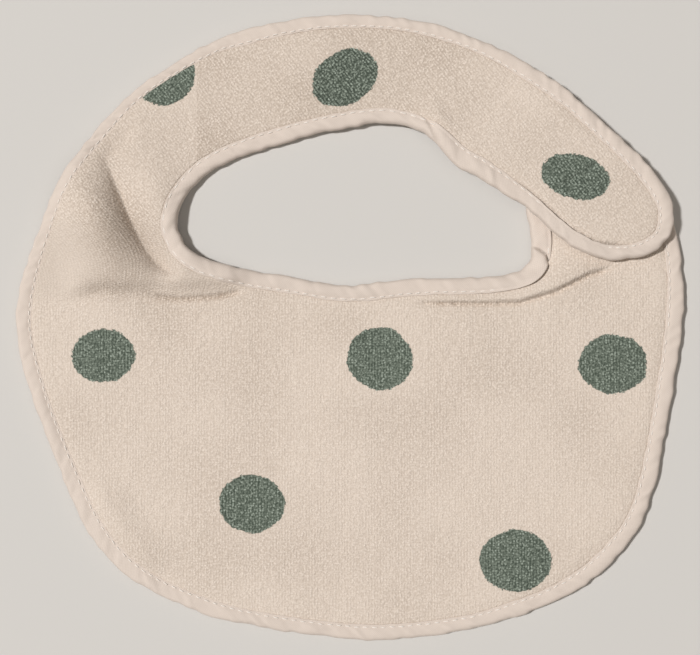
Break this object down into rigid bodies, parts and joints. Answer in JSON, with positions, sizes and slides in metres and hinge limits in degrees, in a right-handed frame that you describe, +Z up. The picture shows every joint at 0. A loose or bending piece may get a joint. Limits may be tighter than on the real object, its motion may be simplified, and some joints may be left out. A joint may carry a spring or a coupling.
{
  "type": "bib",
  "caption": "Round bound terry bib lying closed: one strap curves behind the neck opening and presses onto a rounded tab with a hook-and-loop patch.",
  "frame": {"origin": "middle of the bib's footprint, on the surface that it lies on", "axes": "+X across the chest, towards the tab; +Y from the chest to the nape; +Z up, out of the terry face"},
  "size_m": [0.247, 0.2315, 0.0099],
  "materials": {
    "terry": "matte",
    "lining": "matte",
    "binding": "matte",
    "thread": "satin",
    "loop_pile": "matte",
    "hook_tape": "satin",
    "label": "satin"
  },
  "bodies": {
    "panel": {"terry_panel": "terry", "lining_panel": "lining", "binding_panel": "binding", "needle_thread_panel": "thread", "bobbin_thread_panel": "thread", "care_label": "label"},
    "collar": {"terry_collar": "terry", "lining_collar": "lining", "binding_collar": "binding", "needle_thread_collar": "thread", "bobbin_thread_collar": "thread", "loop_patch": "loop_pile", "loop_patch_thread": "thread"},
    "strap": {"terry_strap": "terry", "lining_strap": "lining", "binding_strap": "binding", "needle_thread_strap": "thread", "bobbin_thread_strap": "thread"},
    "strap_end": {"terry_end": "terry", "lining_end": "lining", "binding_end": "binding", "needle_thread_end": "thread", "bobbin_thread_end": "thread", "hook_patch": "hook_tape", "hook_patch_thread": "thread"}
  },
  "joints": [
    {"name": "neck_fold", "type": "hinge", "parent": "panel", "child": "collar", "pos_m": [0, 0.007, 0.0044], "axis": [1, 0, 0], "range_deg": [0, 90]},
    {"name": "strap_open", "type": "hinge", "parent": "collar", "child": "strap", "pos_m": [-0.042, 0.0855, 0.0044], "axis": [0, -1, 0], "range_deg": [0, 120]},
    {"name": "closure_peel", "type": "hinge", "parent": "strap", "child": "strap_end", "pos_m": [0.0785, 0.0595, 0.01], "axis": [-0.6332, -0.7739, 0], "range_deg": [0, 150]}
  ]
}
